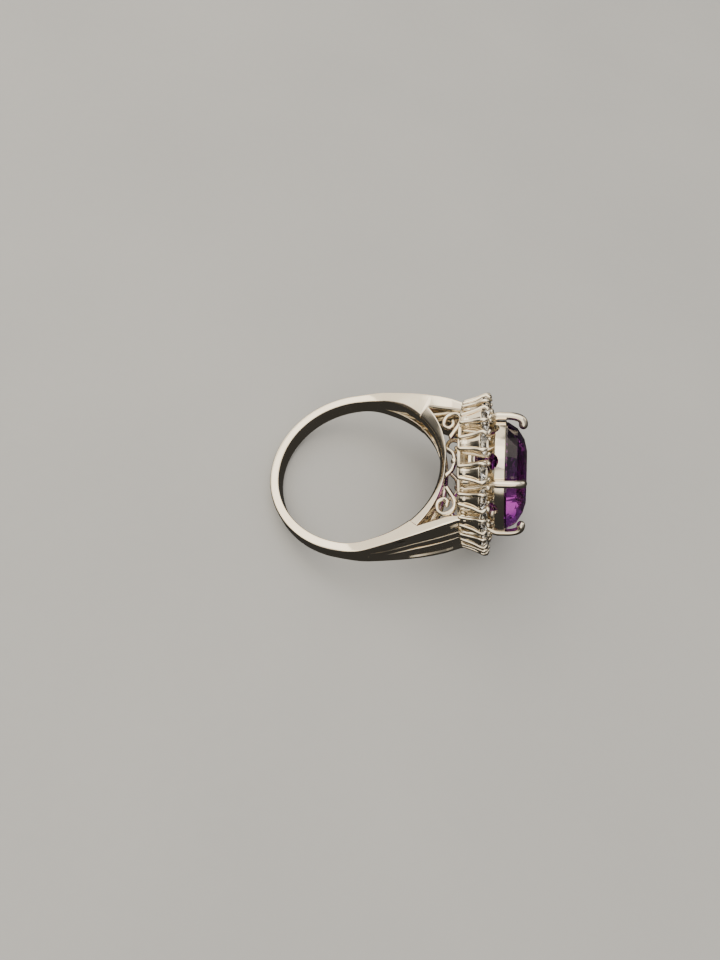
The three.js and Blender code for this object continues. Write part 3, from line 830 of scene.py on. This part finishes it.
# Stations of a centre claw: (distance from the head's axis, height, radius).
CLAW = [
    (5.28, FRAME_TOP_Z - 0.02, 0.4), (5.29, FRAME_TOP_Z + 0.3, 0.4), (5.65, 12.6, 0.38), (6.13, 13.7, 0.38),
    (6.4, 14.4, 0.38), (6.41, 15.2, 0.38), (6.37, 15.9, 0.39), (6.2, 16.5, 0.42), (5.88, 16.84, 0.45),
    (5.48, 16.9, 0.44),
]


def build_centre():
    seat = collet_hoop((FRAME_TOP_Z - SEAT_LAP, COLLET_BASE_Z + SEAT_LAP), SEAT_WALL)
    piece("seat_hoop", seat, SILVER, ["centre_seat_ring"])
    room = centre_gem(STONE_GAP)
    windows = [window_cutter(azimuth) for azimuth in WINDOW_AZIMUTHS]
    blank = collet_hoop((COLLET_BASE_Z, COLLET_RIM_Z, COLLET_TOP_Z), COLLET_WALL)
    wall = carved(blank, [*windows, room])
    piece("pierced_collet", wall, SILVER, ["centre_collet"])
    for i, azimuth in enumerate((CLAW_AZIMUTH, 180 - CLAW_AZIMUTH, 180 + CLAW_AZIMUTH, -CLAW_AZIMUTH)):
        claw = carved(prong(CLAW, azimuth, 60, 24), [room])
        piece(f"centre_claw_{i + 1}", claw, SILVER, [f"claw_{i + 1}"])
    piece("oval_stone", centre_gem(), AMETHYST, ["centre_stone"], smooth=False)


# ---- Floor, lights and camera ----

FLOOR_SIZE = 2.0
FLOOR_TONES = (0.43, 0.445, 0.465), (0.46, 0.475, 0.495)


def floor_material():
    m = Nodes("pale_floor")
    tone = m.remap(m.noise(30, 5), 0.3, 0.7, 0, 1)
    m.join(m.blend(tone, *FLOOR_TONES), m.shader.inputs["Base Color"])
    m.join(m.remap(m.noise(900, 4), 0.3, 0.7, 0.62, 0.78), m.shader.inputs["Roughness"])
    return m.material


def build_floor():
    corners = [Vector((x, y, 0)) * FLOOR_SIZE for x, y in ((-1, -1), (1, -1), (1, 1), (-1, 1))]
    mesh = to_mesh((corners, [(0, 1, 2, 3)]), "floor")
    mesh.materials.append(floor_material())
    obj = bpy.data.objects.new("floor", mesh)
    # The metal and stones mirror the dark lower half of the room instead, for contrast.
    obj.visible_glossy = False
    obj.visible_transmission = False
    bpy.context.scene.collection.objects.link(obj)


def softbox(name, at, aim, size, watts, color):
    light = bpy.data.lights.new(name, "AREA")
    light.shape = "RECTANGLE"
    light.size, light.size_y = size
    light.energy = watts
    light.color = color
    obj = bpy.data.objects.new(name, light)
    turn = (Vector(aim) - Vector(at)).to_track_quat("-Z", "Y").to_matrix().to_4x4()
    obj.matrix_world = Matrix.Translation(at) @ turn
    bpy.context.scene.collection.objects.link(obj)


# The room: (direction, cosine at the patch's edge and at its core, brightness) of each lit patch of wall.
ROOM_PATCHES = [
    ((-0.50, 0.82, 0.22), 0.80, 0.88, 1.62),
    ((-0.80, 0.52, 0.20), 0.935, 0.965, 1.62),
    ((-0.68, 0.42, 0.60), 0.91, 0.95, 1.62),
    ((-0.83, -0.06, 0.56), 0.970, 0.982, 1.62),
    ((-0.72, -0.52, 0.46), 0.93, 0.98, 1.0),
    ((-0.10, -0.84, 0.52), 0.87, 0.95, 1.8),
    ((-0.36, 0.10, 0.93), 0.93, 0.97, 1.7),
    ((0.70, 0.45, 0.55), 0.93, 0.97, 1.5),
]
PATCH_TINT = (1.0, 0.91, 0.76)
ROOM_TINT = (1.0, 0.96, 0.9)
# The rest of the room: (height, from 0 straight down to 1 straight up, brightness).
ROOM_TONES = [(0.0, 0.04), (0.48, 0.05), (0.56, 0.10), (0.70, 0.20), (0.86, 0.55), (1.0, 0.8)]


def build_room():
    world = bpy.data.worlds.new("studio")
    world.use_nodes = True
    tree = world.node_tree
    background = tree.nodes["Background"]
    toward = tree.nodes.new("ShaderNodeTexCoord").outputs["Generated"]
    split = tree.nodes.new("ShaderNodeSeparateXYZ")
    tree.links.new(toward, split.inputs["Vector"])
    height = tree.nodes.new("ShaderNodeMapRange")
    height.inputs["From Min"].default_value = -1.0
    tree.links.new(split.outputs["Z"], height.inputs["Value"])
    ramp = tree.nodes.new("ShaderNodeValToRGB")
    for place, _ in ROOM_TONES[1:-1]:
        ramp.color_ramp.elements.new(place)
    for element, (place, tone) in zip(ramp.color_ramp.elements, ROOM_TONES):
        element.position = place
        element.color = (*(tone * tint for tint in ROOM_TINT), 1)
    tree.links.new(height.outputs["Result"], ramp.inputs["Fac"])
    total = ramp.outputs["Color"]
    for direction, edge, core, brightness in ROOM_PATCHES:
        facing = tree.nodes.new("ShaderNodeVectorMath")
        facing.operation = "DOT_PRODUCT"
        facing.inputs[1].default_value = Vector(direction).normalized()
        tree.links.new(toward, facing.inputs[0])
        patch = tree.nodes.new("ShaderNodeMapRange")
        patch.interpolation_type = "SMOOTHSTEP"
        patch.inputs["From Min"].default_value = edge
        patch.inputs["From Max"].default_value = core
        patch.inputs["To Max"].default_value = brightness
        tree.links.new(facing.outputs["Value"], patch.inputs["Value"])
        tinted = tree.nodes.new("ShaderNodeVectorMath")
        tinted.operation = "SCALE"
        tinted.inputs[0].default_value = PATCH_TINT
        tree.links.new(patch.outputs["Result"], tinted.inputs["Scale"])
        both = tree.nodes.new("ShaderNodeVectorMath")
        both.operation = "MAXIMUM"
        tree.links.new(total, both.inputs[0])
        tree.links.new(tinted.outputs["Vector"], both.inputs[1])
        total = both.outputs["Vector"]
    tree.links.new(total, background.inputs["Color"])
    bpy.context.scene.world = world


def build_lights():
    build_room()
    softbox("overhead", at=(-0.10, 0.04, 0.36), aim=(0, 0, 0), size=(0.5, 0.6), watts=1.5, color=PATCH_TINT)


# The camera in the ring's own frame, so that it keeps its view of the ring however the ring lies.
CAMERA_PLACE = Vector((-38.008, 64.8165, 16.4928))
CAMERA_LOOKS = Vector((0.48574, -0.84758, -0.21369))
CAMERA_UP = Vector((0.8649, 0.50142, -0.02284))
LENS = 27.07  # millimetres


def build_camera():
    camera = bpy.data.cameras.new("camera")
    camera.lens = LENS
    camera.clip_start = 0.001
    turn = TO_ROW.to_3x3().normalized()
    back = -(turn @ CAMERA_LOOKS).normalized()
    right = (turn @ CAMERA_UP).cross(back).normalized()
    obj = bpy.data.objects.new("camera", camera)
    axes = Matrix([right, back.cross(right), back]).transposed().to_4x4()
    obj.matrix_world = Matrix.Translation(TO_ROW @ CAMERA_PLACE) @ axes
    bpy.context.scene.collection.objects.link(obj)
    bpy.context.scene.camera = obj


build_band()
build_shoulders()
build_bridge()
build_gallery()
build_frame()
build_halo()
build_centre()
build_floor()
build_lights()
build_camera()
